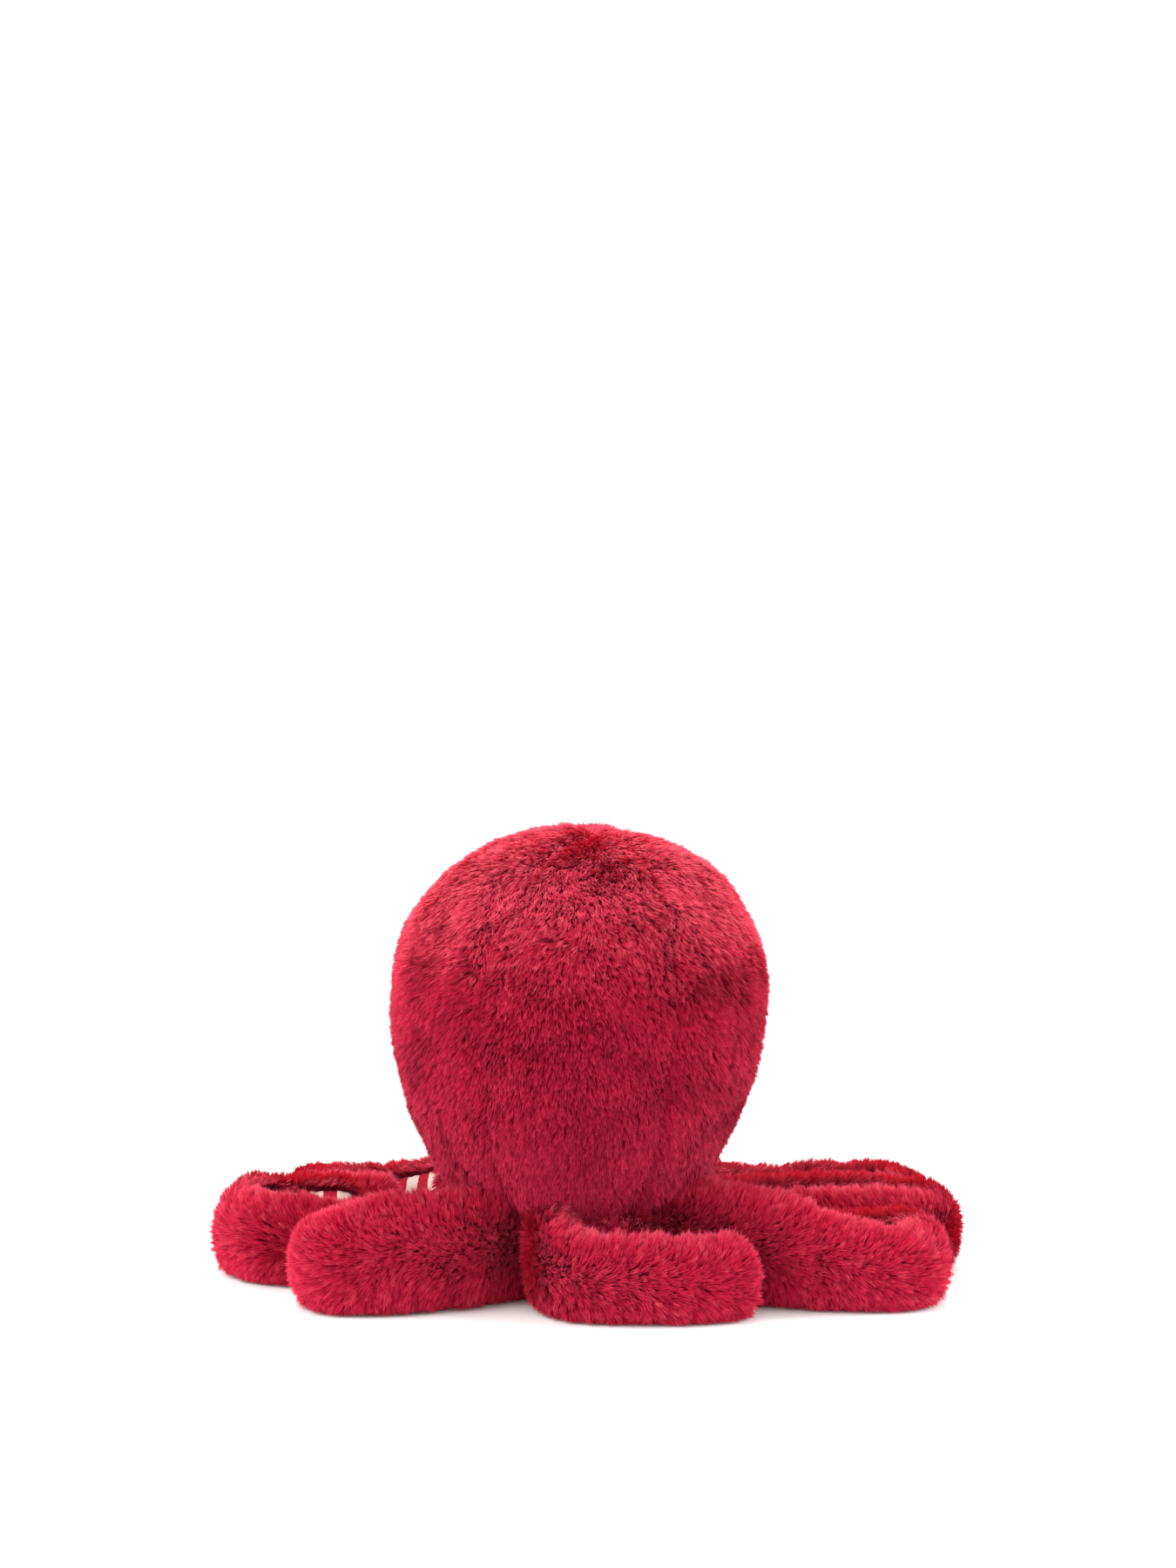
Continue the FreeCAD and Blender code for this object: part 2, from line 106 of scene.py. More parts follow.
LINING_LOW = -52.0  # the lining's lower edge in degrees, 0 at the inner side of the curl
STRIPE = 8.0
LIFT_REACH, CURL_REACH = 13.0, 18.0  # half the length over which an arm bends at a joint
FLOOR_GAP = 0.3
WAVE_UNIT = 20.0  # a wave texture's bands come this many times in one unit at scale 1

# pile: flat fibres, several to a real one
HEAD_DENSITY, ARM_DENSITY = 3.3, 3.8  # for each square millimetre
FIBRE_WIDTH = 0.58
SHADES = 12
TUFT = 14  # fibres in a tuft
UNDERSIDE_DENSITY = 0.8
UNDERSIDE_SEED, HEAD_SEED, ARM_SEED = 90, 100, 200


# ------------------------------------------------------------------ fields and grids

def drift(points, scale, seed):
    """A smooth field of about -1 to 1 that changes over scale millimetres."""
    rng = np.random.default_rng(seed)
    total = np.zeros(points.shape[:-1])
    for _ in range(7):
        wave = rng.normal(size=3)
        wave *= 2 * math.pi / (np.linalg.norm(wave) * scale * rng.uniform(1.5, 3.5))
        total += np.sin(points @ wave + rng.uniform(0, 2 * math.pi))
    return total / 3


def ease(value, start, end):
    share = np.clip((value - start) / (end - start), 0, 1)
    return share * share * (3 - 2 * share)


def unit(vectors):
    return vectors / np.maximum(np.linalg.norm(vectors, axis=-1, keepdims=True), 1e-9)


def grid_of(points, out):
    """A surface as a grid of points with its normals; out is a vector field that leaves it."""
    along, across = np.gradient(points, axis=0), np.gradient(points, axis=1)
    normals = unit(np.cross(along, across))
    normals *= np.sign((normals * out).sum(-1).mean())
    return {"points": points, "normals": normals, "along": unit(along), "across": unit(across)}


def flat_to(vectors, normals):
    return unit(vectors - (vectors * normals).sum(-1, keepdims=True) * normals)


def grid_faces(rows, columns):
    corner = (np.arange(rows - 1)[:, None] * columns + np.arange(columns - 1)).ravel()
    return np.stack([corner, corner + columns, corner + columns + 1, corner + 1], 1)


# ------------------------------------------------------------------ pile

def scatter(grid, density, rng):
    """Roots spread evenly over a grid's area, with each field of the grid read at each root."""
    points = grid["points"]
    along = points[1:, :-1] - points[:-1, :-1]
    across = points[:-1, 1:] - points[:-1, :-1]
    area = np.linalg.norm(np.cross(along, across), axis=2).ravel()
    count = int(area.sum() * density)
    share = np.cumsum(area) / area.sum()
    cell = np.searchsorted(share, rng.random(count)).clip(0, len(area) - 1)
    row, column = np.divmod(cell, points.shape[1] - 1)
    down, right = rng.random((2, count))

    def read(field):
        if field.ndim == 3:
            a, b = down[:, None], right[:, None]
        else:
            a, b = down, right
        near = field[row, column] * (1 - b) + field[row, column + 1] * b
        far = field[row + 1, column] * (1 - b) + field[row + 1, column + 1] * b
        return near * (1 - a) + far * a

    return {name: read(grid[name]) for name in ("points", "normals", "comb", "pile", "lean", "painted_light")}


def tufts(points, per_tuft, rng):
    """The number of the tuft that each root belongs to, and how many tufts there are."""
    count = max(1, len(points) // per_tuft)
    chosen = rng.choice(len(points), count, replace=False)
    tree = kdtree.KDTree(count)
    for number, root in enumerate(chosen):
        tree.insert(points[root], number)
    tree.balance()
    return np.array([tree.find(point)[1] for point in points]), count


def plant(grid, density, per_tuft, seed, gather, swirl):
    """Pile: flat fibres, bent in the middle, combed, swirled and gathered into tufts."""
    rng = np.random.default_rng(seed)
    roots = scatter(grid, density, rng)
    grown = roots["pile"] > 1.0
    roots = {name: field[grown] for name, field in roots.items()}
    points, normals = roots["points"], unit(roots["normals"])
    count = len(points)
    tuft, tuft_count = tufts(points, per_tuft, rng)
    turn = swirl * (drift(points, 16, seed + 1) + 0.5 * rng.normal(size=tuft_count)[tuft])
    turn += 0.2 * rng.normal(size=count)
    comb = flat_to(roots["comb"], normals)
    side = np.cross(normals, comb)
    comb, side = (comb * np.cos(turn)[:, None] + side * np.sin(turn)[:, None],
                  side * np.cos(turn)[:, None] - comb * np.sin(turn)[:, None])
    lean = roots["lean"] + 0.10 * rng.normal(size=tuft_count)[tuft] + 0.10 * rng.normal(size=count)
    lean = np.clip(lean + 0.10 * drift(points, 9, seed + 2), 0.05, 1.25)
    uneven = 0.08 * rng.normal(size=tuft_count)[tuft] + 0.10 * rng.normal(size=count)
    length = roots["pile"] * (1 + uneven)

    def step(share, bend):
        angle = (lean * bend)[:, None]
        return (length * share)[:, None] * (normals * np.cos(angle) + comb * np.sin(angle))

    middle = points + step(0.5, 0.6)
    tip = middle + step(0.5, 1.35)
    fibres = np.maximum(np.bincount(tuft, minlength=tuft_count), 1)
    mean_tip = np.stack([np.bincount(tuft, tip[:, axis], tuft_count) for axis in range(3)], 1)
    mean_tip /= fibres[:, None]
    pull = mean_tip[tuft] - tip
    pull -= (pull * normals).sum(1, keepdims=True) * normals
    tip += gather * pull
    middle += 0.4 * gather * pull
    roll = rng.normal(scale=0.45, size=count)[:, None]
    width = (side * np.cos(roll) + normals * np.sin(roll)) * FIBRE_WIDTH / 2
    vertices = np.stack([points, middle - width, middle + width, tip], 1)
    vertices[..., 2] = np.maximum(vertices[..., 2], FLOOR_GAP)
    first = 4 * np.arange(count)[:, None]
    # each tuft's shade: painted light read from the field at its roots (lighter on the top of the head
    # and along the arms' crests, painted shade low on the head, on its back and on the arms' undersides)
    # plus a random tone from tuft to tuft
    painted_light = np.bincount(tuft, roots["painted_light"], tuft_count) / fibres
    shade = np.clip(painted_light + 0.14 * rng.normal(size=tuft_count), 0, 1)
    shade = np.round(shade * (SHADES - 1))[tuft] / (SHADES - 1)
    return {
        "vertices": vertices.reshape(-1, 3),
        "triangles": (first[:, None] + np.array([[0, 1, 2], [2, 1, 3]])).reshape(-1, 3),
        "height": np.tile([0.0, 0.5, 0.5, 1.0], count),
        "shade": np.repeat(shade, 4),
    }


# ------------------------------------------------------------------ meshes

def new_piece(name, vertices, quads, triangles, materials, slots, attributes, spread):
    """A mesh object from quads then triangles; slots numbers each face's material."""
    mesh = bpy.data.meshes.new(name)
    corners = np.concatenate([quads.ravel(), triangles.ravel()]).astype(np.int32)
    starts = np.concatenate([np.arange(len(quads)) * 4,
                             4 * len(quads) + np.arange(len(triangles)) * 3])
    mesh.vertices.add(len(vertices))
    mesh.vertices.foreach_set("co", (vertices * MM).astype(np.float32).ravel())
    mesh.loops.add(len(corners))
    mesh.loops.foreach_set("vertex_index", corners)
    mesh.polygons.add(len(starts))
    mesh.polygons.foreach_set("loop_start", starts.astype(np.int32))
    mesh.update(calc_edges=True)
    mesh.polygons.foreach_set("material_index", slots.astype(np.int32))
    mesh.polygons.foreach_set("use_smooth", np.ones(len(starts), bool))
    for key, values in attributes.items():
        layer = mesh.attributes.new(key, "FLOAT", "POINT")
        layer.data.foreach_set("value", values.astype(np.float32))
    if spread is not None:
        layer = mesh.uv_layers.new(name="OFBake")
        layer.data.foreach_set("uv", spread[corners].astype(np.float32).ravel())
    for material in materials:
        mesh.materials.append(material)
    piece = bpy.data.objects.new(name, mesh)
    bpy.context.scene.collection.objects.link(piece)
    return piece


def plush_piece(name, grid, density, per_tuft, seed, gather=0.3, swirl=0.3):
    """A panel of plush: its knitted back and its pile in one piece."""
    rows, columns = grid["points"].shape[:2]
    back = grid["points"].reshape(-1, 3)
    pile = plant(grid, density, per_tuft, seed, gather, swirl)
    start = len(back)
    vertices = np.concatenate([back, pile["vertices"]])
    quads = grid_faces(rows, columns)
    triangles = pile["triangles"] + start
    slots = np.ones(len(quads) + len(triangles), int)
    slots[:len(quads)] = 0
    # the knit lies in the left half of the map and the pile in the right half
    down, right = np.meshgrid(np.linspace(0.01, 0.49, rows), np.linspace(0.01, 0.99, columns),
                              indexing="ij")
    cloth_map = np.stack([down.ravel(), right.ravel()], 1)
    # every fibre of one shade lies in that shade's strip, running from root to tip
    strip = 0.5 + (pile["shade"] * (SHADES - 1) + 0.2) / SHADES / 2
    edge = np.tile([0.3, 0.0, 0.6, 0.3], len(strip) // 4) / SHADES / 2
    pile_map = np.stack([strip + edge, 0.02 + 0.96 * pile["height"]], 1)
    attributes = {
        "height": np.concatenate([np.zeros(start), pile["height"]]),
        "shade": np.concatenate([np.zeros(start), pile["shade"]]),
    }
    spread = np.concatenate([cloth_map, pile_map])
    return new_piece(name, vertices, quads, triangles, [BACKING, PILE], slots, attributes, spread)


def cloth_piece(name, grid, material, attributes=None):
    rows, columns = grid["points"].shape[:2]
    quads = grid_faces(rows, columns)
    none = np.zeros((0, 3), int)
    fields = {key: values.ravel() for key, values in (attributes or {}).items()}
    return new_piece(name, grid["points"].reshape(-1, 3), quads, none, [material],
                     np.zeros(len(quads), int), fields, None)


# ------------------------------------------------------------------ materials

def linear(hex_colour):
    """sRGB hex to a linear colour."""
    channels = [int(hex_colour[i:i + 2], 16) / 255 for i in (1, 3, 5)]
    return [c / 12.92 if c <= 0.04045 else ((c + 0.055) / 1.055) ** 2.4 for c in channels] + [1.0]


def add(material, kind, settings=None, links=None, stops=None):
    """Adds one node with its settings, its links and, on a ramp, its colour stops."""
    node = material.node_tree.nodes.new(kind)
    for key, value in (settings or {}).items():
        if isinstance(key, int) or key in node.inputs:
            node.inputs[key].default_value = value
        else:
            setattr(node, key, value)
    for key, source in (links or {}).items():
        material.node_tree.links.new(source, node.inputs[key])
    if stops:
        ramp = node.color_ramp.elements
        for place, colour in stops[2:]:
            ramp.new(place)
        for element, (place, colour) in zip(ramp, sorted(stops)):
            element.position = place
            element.color = linear(colour)
    return node


def blank(name):
    material = bpy.data.materials.new(name)
    material.use_nodes = True
    material.node_tree.nodes.clear()
    return material


def finished(material, settings, colour=None, **links):
    """Ends a material in one principled shader."""
    if colour:
        links["Base Color"] = colour
    shader = add(material, "ShaderNodeBsdfPrincipled", settings, links)
    add(material, "ShaderNodeOutputMaterial", None, {"Surface": shader.outputs["BSDF"]})
    return material


def attribute(material, name):
    return add(material, "ShaderNodeAttribute", {"attribute_name": name}).outputs["Fac"]


def on_piece(material, kind, output, **settings):
    """A texture that reads the piece's own coordinates."""
    place = add(material, "ShaderNodeTexCoord").outputs["Object"]
    settings = {key.replace("_", " "): value for key, value in settings.items()}
    return add(material, kind, settings, {"Vector": place}).outputs[output]


def waves(material, direction, period, distortion, detail, vector=None):
    """Bands that come every period, drawn in the vector's units, or in the piece's metres."""
    vector = vector or add(material, "ShaderNodeTexCoord").outputs["Object"]
    settings = {"bands_direction": direction, "Scale": 1 / (WAVE_UNIT * period),
                "Distortion": distortion, "Detail": detail}
    return add(material, "ShaderNodeTexWave", settings, {"Vector": vector}).outputs["Fac"]


def ramp(material, source, *stops):
    return add(material, "ShaderNodeValToRGB", None, {"Fac": source}, stops).outputs["Color"]


def between(material, source, **settings):
    """Maps a number from one range to another."""
    settings = {key.replace("_", " "): value for key, value in settings.items()}
    return add(material, "ShaderNodeMapRange", settings, {"Value": source}).outputs["Result"]


def reckon(material, operation, settings, *sources):
    """One sum on numbers; sources are pairs of an input's place and what goes in."""
    settings = {"operation": operation, **settings}
    return add(material, "ShaderNodeMath", settings, dict(sources)).outputs["Value"]


def bump(material, source, strength, depth, invert=False):
    """A normal raised by source, with its depth in millimetres."""
    settings = {"Strength": strength, "Distance": depth * MM, "invert": invert}
    return add(material, "ShaderNodeBump", settings, {"Height": source}).outputs["Normal"]


def polyester_pile_brushed():
    """Plush pile of polyester in red dye, cropped and brushed: painted shade makes it near black red
    at the roots, where little light gets down, strong red along the fibres, and a painted highlight
    makes it pinker at their thin tips. Each tuft's shade gives a random tone and painted light,
    and pales the lightest tufts as painted sheen."""
    m = blank("polyester_pile_brushed")
    shade = attribute(m, "shade")
    # painted shade at the roots and a painted highlight at the tips, along each fibre's height
    colour = ramp(m, attribute(m, "height"),
                  (0.0, "#7E0A22"), (1.0, "#D93658"), (0.4, "#B60C32"), (0.78, "#C9163D"))
    # the tuft's shade sets its brightness, from a random tone and painted light; the lightest shades are
    # paled, a painted sheen
    value = between(m, shade, To_Min=0.66, To_Max=1.3)
    depth = between(m, shade, From_Min=0.6, To_Min=1.0, To_Max=0.93)
    tone_and_painted_light = add(m, "ShaderNodeHueSaturation", None,
               {"Value": value, "Saturation": depth, "Color": colour})
    settings = {"Roughness": 0.65, "Specular IOR Level": 0.12, "Sheen Weight": 0.2,
                "Sheen Roughness": 0.45, "Sheen Tint": linear("#F68098")}
    return finished(m, settings, tone_and_painted_light.outputs["Color"])


def polyester_knit_backing():
    """The knit that the pile grows from: dull, deep red, with courses 1.2 mm apart, drawn twice
    as coarse as the real ones so that they show where the pile parts."""
    m = blank("polyester_knit_backing")
    courses = waves(m, "Z", 1.2 * MM, 1.5, 1.0)
    colour = ramp(m, courses, (0.0, "#6E0F20"), (1.0, "#8E142B"))
    settings = {"Roughness": 0.9, "Specular IOR Level": 0.15}
    return finished(m, settings, colour, Normal=bump(m, courses, 0.5, 0.3))


def striped_cotton_woven():
    """Printed cotton with cream and red stripes across the arm: smooth and matt beside the pile,
    with a plain weave, drawn at 0.9 mm so that it shows, and print edges that waver a little."""
    m = blank("striped_cotton_woven")
    run = attribute(m, "run")
    on_cloth = add(m, "ShaderNodeCombineXYZ", None, {"X": run, "Y": attribute(m, "across")})
    on_cloth = on_cloth.outputs["Vector"]
    waver = add(m, "ShaderNodeTexNoise", {"Scale": 0.25, "Detail": 2.0}, {"Vector": on_cloth})
    moved = reckon(m, "MULTIPLY_ADD", {1: 1.6}, (0, waver.outputs["Fac"]), (2, run))
    turns = reckon(m, "DIVIDE", {1: 2 * STRIPE}, (0, moved))
    swing = reckon(m, "PINGPONG", {1: 0.5}, (0, reckon(m, "FRACT", {}, (0, turns))))
    colour = ramp(m, between(m, swing, From_Min=0.24, From_Max=0.26),
                  (0.0, "#E8D9CA"), (1.0, "#B3102F"))
    warp, weft = [waves(m, direction, 0.9, 0.4, 2.0, on_cloth) for direction in "XY"]
    weave = reckon(m, "MULTIPLY", {}, (0, warp), (1, weft))
    settings = {"Roughness": 0.85, "Specular IOR Level": 0.2, "Sheen Weight": 0.15,
                "Sheen Roughness": 0.5}
    return finished(m, settings, colour, Normal=bump(m, weave, 0.35, 0.2))


def polyester_wadding_carded():
    """Carded fibre filling: soft white, with shadowed hollows between its locks."""
    m = blank("polyester_wadding_carded")
    locks = on_piece(m, "ShaderNodeTexNoise", "Fac", Scale=1 / (6 * MM), Detail=8.0,
                     Roughness=0.7, Distortion=1.2)
    colour = ramp(m, locks, (0.3, "#D9D7D2"), (0.7, "#FAF9F6"))
    settings = {"Roughness": 0.95, "Sheen Weight": 0.5, "Sheen Roughness": 0.6}
    return finished(m, settings, colour, Normal=bump(m, locks, 0.8, 1.5))


def acrylic_moulded_eye():
    """Polished black acrylic: a deep gloss with a faint ripple left by the mould."""
    m = blank("acrylic_moulded_eye")
    ripple = on_piece(m, "ShaderNodeTexNoise", "Fac", Scale=1 / (4 * MM), Detail=2.0)
    colour = ramp(m, ripple, (0.0, "#0B090A"), (1.0, "#161113"))
    settings = {"Roughness": 0.06, "Specular IOR Level": 0.28}
    return finished(m, settings, colour, Normal=bump(m, ripple, 0.05, 0.1))


def polypropylene_moulded_washer():
    """Uncoloured polypropylene: milky, waxy and slightly uneven in gloss."""
    m = blank("polypropylene_moulded_washer")
    flow = on_piece(m, "ShaderNodeTexNoise", "Fac", Scale=1 / (3 * MM), Detail=4.0)
    colour = ramp(m, flow, (0.0, "#DAD8D0"), (1.0, "#EDEBE4"))
    return finished(m, {"IOR": 1.49}, colour, Roughness=between(m, flow, To_Min=0.35, To_Max=0.5))


def rayon_thread_twisted():
    """Black embroidery thread: silky, with the twist of its plies 0.7 mm apart, and a painted sheen on
    the plies' crests with painted shade in the grooves between them.
    """
    m = blank("rayon_thread_twisted")
    plies = waves(m, "DIAGONAL", 0.7 * MM, 0.0, 2.0)
    # painted sheen on the ply crests, painted shade in the grooves
    colour = ramp(m, plies, (0.0, "#0C0A0C"), (1.0, "#2A2328"))
    settings = {"Roughness": 0.4, "Sheen Weight": 0.3, "Sheen Roughness": 0.3}
    return finished(m, settings, colour, Normal=bump(m, plies, 0.8, 0.3))


def calico_bag_woven():
    """Unbleached cotton of the pellet bag: a plain weave with darker flecks of seed."""
    m = blank("calico_bag_woven")
    warp = waves(m, "X", 0.8 * MM, 0.5, 2.0)
    flecks = on_piece(m, "ShaderNodeTexNoise", "Fac", Scale=1 / (5 * MM), Detail=6.0)
    colour = ramp(m, flecks, (0.3, "#BDB097"), (0.6, "#DBD1BC"))
    return finished(m, {"Roughness": 0.9}, colour, Normal=bump(m, warp, 0.4, 0.2))


def polypropylene_pellets_cast():
    """Plastic pellets, 3 mm across, heaped: each one milky and rounded, with painted shade darkening its
    edge and the gaps between.
    """
    m = blank("polypropylene_pellets_cast")
    heap = on_piece(m, "ShaderNodeTexVoronoi", "Distance", Scale=1 / (3 * MM))
    # painted shade: darker away from each pellet's middle and in the gaps
    colour = ramp(m, heap, (0.2, "#EDECE8"), (0.8, "#8B8A86"))
    return finished(m, {"Roughness": 0.35}, colour, Normal=bump(m, heap, 1.0, 1.5, True))


def studio_paper():
    """Matt white paper that the toy stands on."""
    m = blank("studio_paper")
    return finished(m, {"Base Color": linear("#FDFCFC"), "Roughness": 0.9,
                        "Specular IOR Level": 0.1})


PILE = polyester_pile_brushed()
BACKING = polyester_knit_backing()
LINING = striped_cotton_woven()
WADDING = polyester_wadding_carded()


# ------------------------------------------------------------------ head

def head_outline():
    """Angles from upright and distances from the head's middle, along its outline."""
    crown = HEAD_TOP - CROWN_RADIUS
    out = HEAD_RADIUS - SHOULDER_RADIUS
    level = crown + math.sqrt((CROWN_RADIUS - SHOULDER_RADIUS) ** 2 - out ** 2)
    lean = math.atan2(level - crown, out)
    fall = -math.asin((level - HEAD_BOTTOM + 6) / BELLY_RADIUS)
    arcs = [(0, crown, CROWN_RADIUS, math.pi / 2, lean), (out, level, SHOULDER_RADIUS, lean, 0),
            (HEAD_RADIUS - BELLY_RADIUS, level, BELLY_RADIUS, 0, fall)]
    turns = [(x, z, radius, np.linspace(first, last, 80)) for x, z, radius, first, last in arcs]
    x = np.concatenate([x + radius * np.cos(turn) for x, z, radius, turn in turns])
    z = np.concatenate([z + radius * np.sin(turn) for x, z, radius, turn in turns])
    return np.arctan2(x, z - HEAD_MIDDLE), np.hypot(x, z - HEAD_MIDDLE)


OUTLINE = head_outline()
EYES = [(Vector(lo) + Vector(hi)) / (2 * MM) for lo, hi in (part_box("eye_left"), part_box("eye_right"))]
EYE_RADIUS = 7.0
MOUTH_LOW, MOUTH_HIGH = (Vector(corner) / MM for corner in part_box("mouth_thread"))
MOUTH_RADIUS = 13.0


def face_gap(points):
    """Distance across the face to the nearer eye and to the mouth; large behind the head."""
    x, z = points[..., 0], points[..., 2]
    eyes = np.minimum(*[np.hypot(x - eye.x, z - eye.z) for eye in EYES])
    centre = MOUTH_LOW.z + 1 + MOUTH_RADIUS
    reach = math.asin(min(1, (MOUTH_HIGH.x - 1) / MOUTH_RADIUS))
    turn = np.clip(np.arctan2(x, centre - z), -reach, reach)
    mouth = np.hypot(x - MOUTH_RADIUS * np.sin(turn), z - centre + MOUTH_RADIUS * np.cos(turn))
    behind = 1000.0 * (points[..., 1] < 0)
    return eyes + behind, mouth + behind


def head_grid(first, last, rows, columns, inset, seams=True):
    """The head between two azimuths in degrees, inside its outline by inset."""
    azimuth, polar = np.meshgrid(np.radians(np.linspace(first, last, rows)),
                                 np.linspace(0.015, OUTLINE[0][-1], columns), indexing="ij")
    tilt = math.radians(CROWN_TILT) * (1 - polar / OUTLINE[0][-1]) ** 1.5
    flat, up = np.sin(polar), np.cos(polar)
    ways = np.stack([flat * np.cos(azimuth) * np.cos(tilt) + up * np.sin(tilt), flat * np.sin(azimuth),
                     up * np.cos(tilt) - flat * np.cos(azimuth) * np.sin(tilt)], -1)
    reach = np.interp(np.arccos(np.clip(ways[..., 2], -1, 1)), *OUTLINE)
    middle = np.array([0, 0, HEAD_MIDDLE])
    share = (azimuth - math.radians(first)) / math.radians(last - first)
    width = math.radians(last - first) * reach * flat
    gap = np.minimum(share, 1 - share) * width
    points = middle + ways * reach[..., None]
    eyes, mouth = face_gap(points)
    near = np.maximum(np.exp(-(eyes / 9.5) ** 4), 0.9 * np.exp(-(mouth / 4) ** 2))
    inset = inset - (inset - 0.3) * near
    if seams:
        inset = inset + SEAM_DEPTH * np.exp(-(gap / SEAM_REACH) ** 2) - 1.4 * np.sin(math.pi * share)
    points = middle + ways * (reach - inset + 0.9 * drift(points, 30, 5))[..., None]
    points[..., 0] += HEAD_LEAN * (points[..., 2] - HEAD_MIDDLE)
    return grid_of(points, ways), gap, share, eyes, mouth


def make_head():
    for number in range(GORES):
        first = FIRST_SEAM + number * 360 / GORES
        grid, gap, share, eyes, mouth = head_grid(first, first + 360 / GORES,
                                                 GORE_ROWS, GORE_COLUMNS, HEAD_INSET)
        points, normals = grid["points"], grid["normals"]
        azimuths = np.degrees(np.arctan2(points[..., 1], points[..., 0]))
        away = np.where(share < 0.5, 1, -1)[..., None] * grid["along"] * np.exp(-gap / 4)[..., None]
        from_face = np.zeros_like(points)
        for eye in EYES:
            gone = points - np.array(eye)
            from_face += unit(gone) * np.exp(-(np.linalg.norm(gone, axis=-1) / 14) ** 2)[..., None]
        down = np.array([0, 0, -1.0]) - normals * -normals[..., 2:]
        comb = 0.6 * down + 0.35 * away + 1.5 * from_face + 0.05 * grid["across"]
        grid["comb"] = flat_to(comb, normals)
        height = points[..., 2]
        grid["lean"] = 0.5 + 0.35 * ease(height, 185, 235) + 0.15 * ease(height, 140, 80)
        grid["lean"] += 0.08 * drift(points, 25, 8)
        # painted light: the pile is lighter towards the top of the head, with painted shade low on it
        # and down the middle of its back
        behind = np.exp(-((azimuths + 90) / 32) ** 2)
        grid["painted_light"] = 0.38 + 0.5 * ease(height, 155, 220) - 0.26 * ease(height, 150, 80) - 0.14 * behind
        pile = HEAD_PILE * (1 - 0.15 * np.exp(-(gap / 3) ** 2)) * (1 + 0.05 * drift(points, 12, 9))
        pile *= ease(eyes, EYE_RADIUS - 0.5, EYE_RADIUS + 7)
        pile *= ease(mouth, 3, 11)
        grid["pile"] = pile
        gore = plush_piece("plush_gore_%d" % (number + 1), grid, HEAD_DENSITY, TUFT,
                           HEAD_SEED + number, 0.25, 0.3)
        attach(gore, "body")
        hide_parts("head_gore_%d" % (number + 1))
    grid = head_grid(0, 360, 97, 60, WADDING_INSET, False)[0]
    grid["points"] += grid["normals"] * (1.5 * drift(grid["points"], 9, 11))[..., None]
    wad = cloth_piece("head_wadding", grid, WADDING)
    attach(wad, "body")
    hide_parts("head_filling")


def make_underside():
    """The round plush panel under the head: a flat foot, a rounded edge and a wall."""
    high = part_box("underside_panel")[1]
    radius, top, corner = high.x / MM, high.z / MM, 6.0
    turn = np.linspace(0, math.pi / 2, 9)
    reach = np.concatenate([np.linspace(0.5, radius - corner, 14),
                            radius - corner + corner * np.sin(turn), np.full(10, radius)])
    level = np.concatenate([np.full(14, 0.6), 0.6 + corner - corner * np.cos(turn),
                            np.linspace(corner + 2, top, 10)])
    around = np.linspace(0, 2 * math.pi, 73)
    points = np.stack([np.outer(np.cos(around), reach), np.outer(np.sin(around), reach),
                       np.broadcast_to(level, (73, len(level)))], -1)
    grid = grid_of(points, points - np.array([0, 0, top / 2]))
    grid["comb"] = grid["across"]
    grid["lean"] = np.full(points.shape[:2], 1.1)
    grid["pile"] = np.full(points.shape[:2], 5.0)
    # painted shade: the panel under the head is darker all over
    grid["painted_light"] = np.full(points.shape[:2], 0.3)
    panel = plush_piece("plush_underside", grid, UNDERSIDE_DENSITY, 12, UNDERSIDE_SEED)
    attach(panel, "body")
    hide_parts("underside_panel")


# ------------------------------------------------------------------ arms

def level_way(turn):
    return np.array([math.cos(turn), math.sin(turn)])


def lay_out(arm):
    """The arm's centre line: distance, place and heading, past its end by the rounded tip."""
    place, heading, reach, bend, turn_radius, turn_sweep, tail, tail_bend = ARMS[arm]
    turn = abs(math.radians(turn_sweep)) * turn_radius
    marks = np.cumsum([-ROOT_TUCK, ROOT_TUCK, reach, turn, tail])
    headings = heading + np.cumsum([0, 0, bend, turn_sweep, tail_bend])
    step = 0.25
    run = np.arange(marks[0], marks[-1] + ARM_ROUND_END + step, step)
    way = np.radians(np.interp(run - step / 2, marks, headings))
    start = RING_RADIUS * level_way(math.radians(place))
    start = start - ROOT_TUCK * level_way(math.radians(heading))
    x = start[0] + np.concatenate([[0], np.cumsum(np.cos(way[1:]) * step)])
    y = start[1] + np.concatenate([[0], np.cumsum(np.sin(way[1:]) * step)])
    return {"run": run, "x": x, "y": y, "way": np.radians(np.interp(run, marks, headings)),
            "curl": math.copysign(1, turn_sweep), "turn": reach + turn / 2, "end": marks[-1]}


def joint_named(name):
    return next(joint for joint in frame["joints"] if joint["name"] == name)


def run_at(line, joint):
    """How far along the arm a joint lies."""
    x, y = joint["pos_m"][0] / MM, joint["pos_m"][1] / MM
    return line["run"][np.argmin(np.hypot(line["x"] - x, line["y"] - y))]


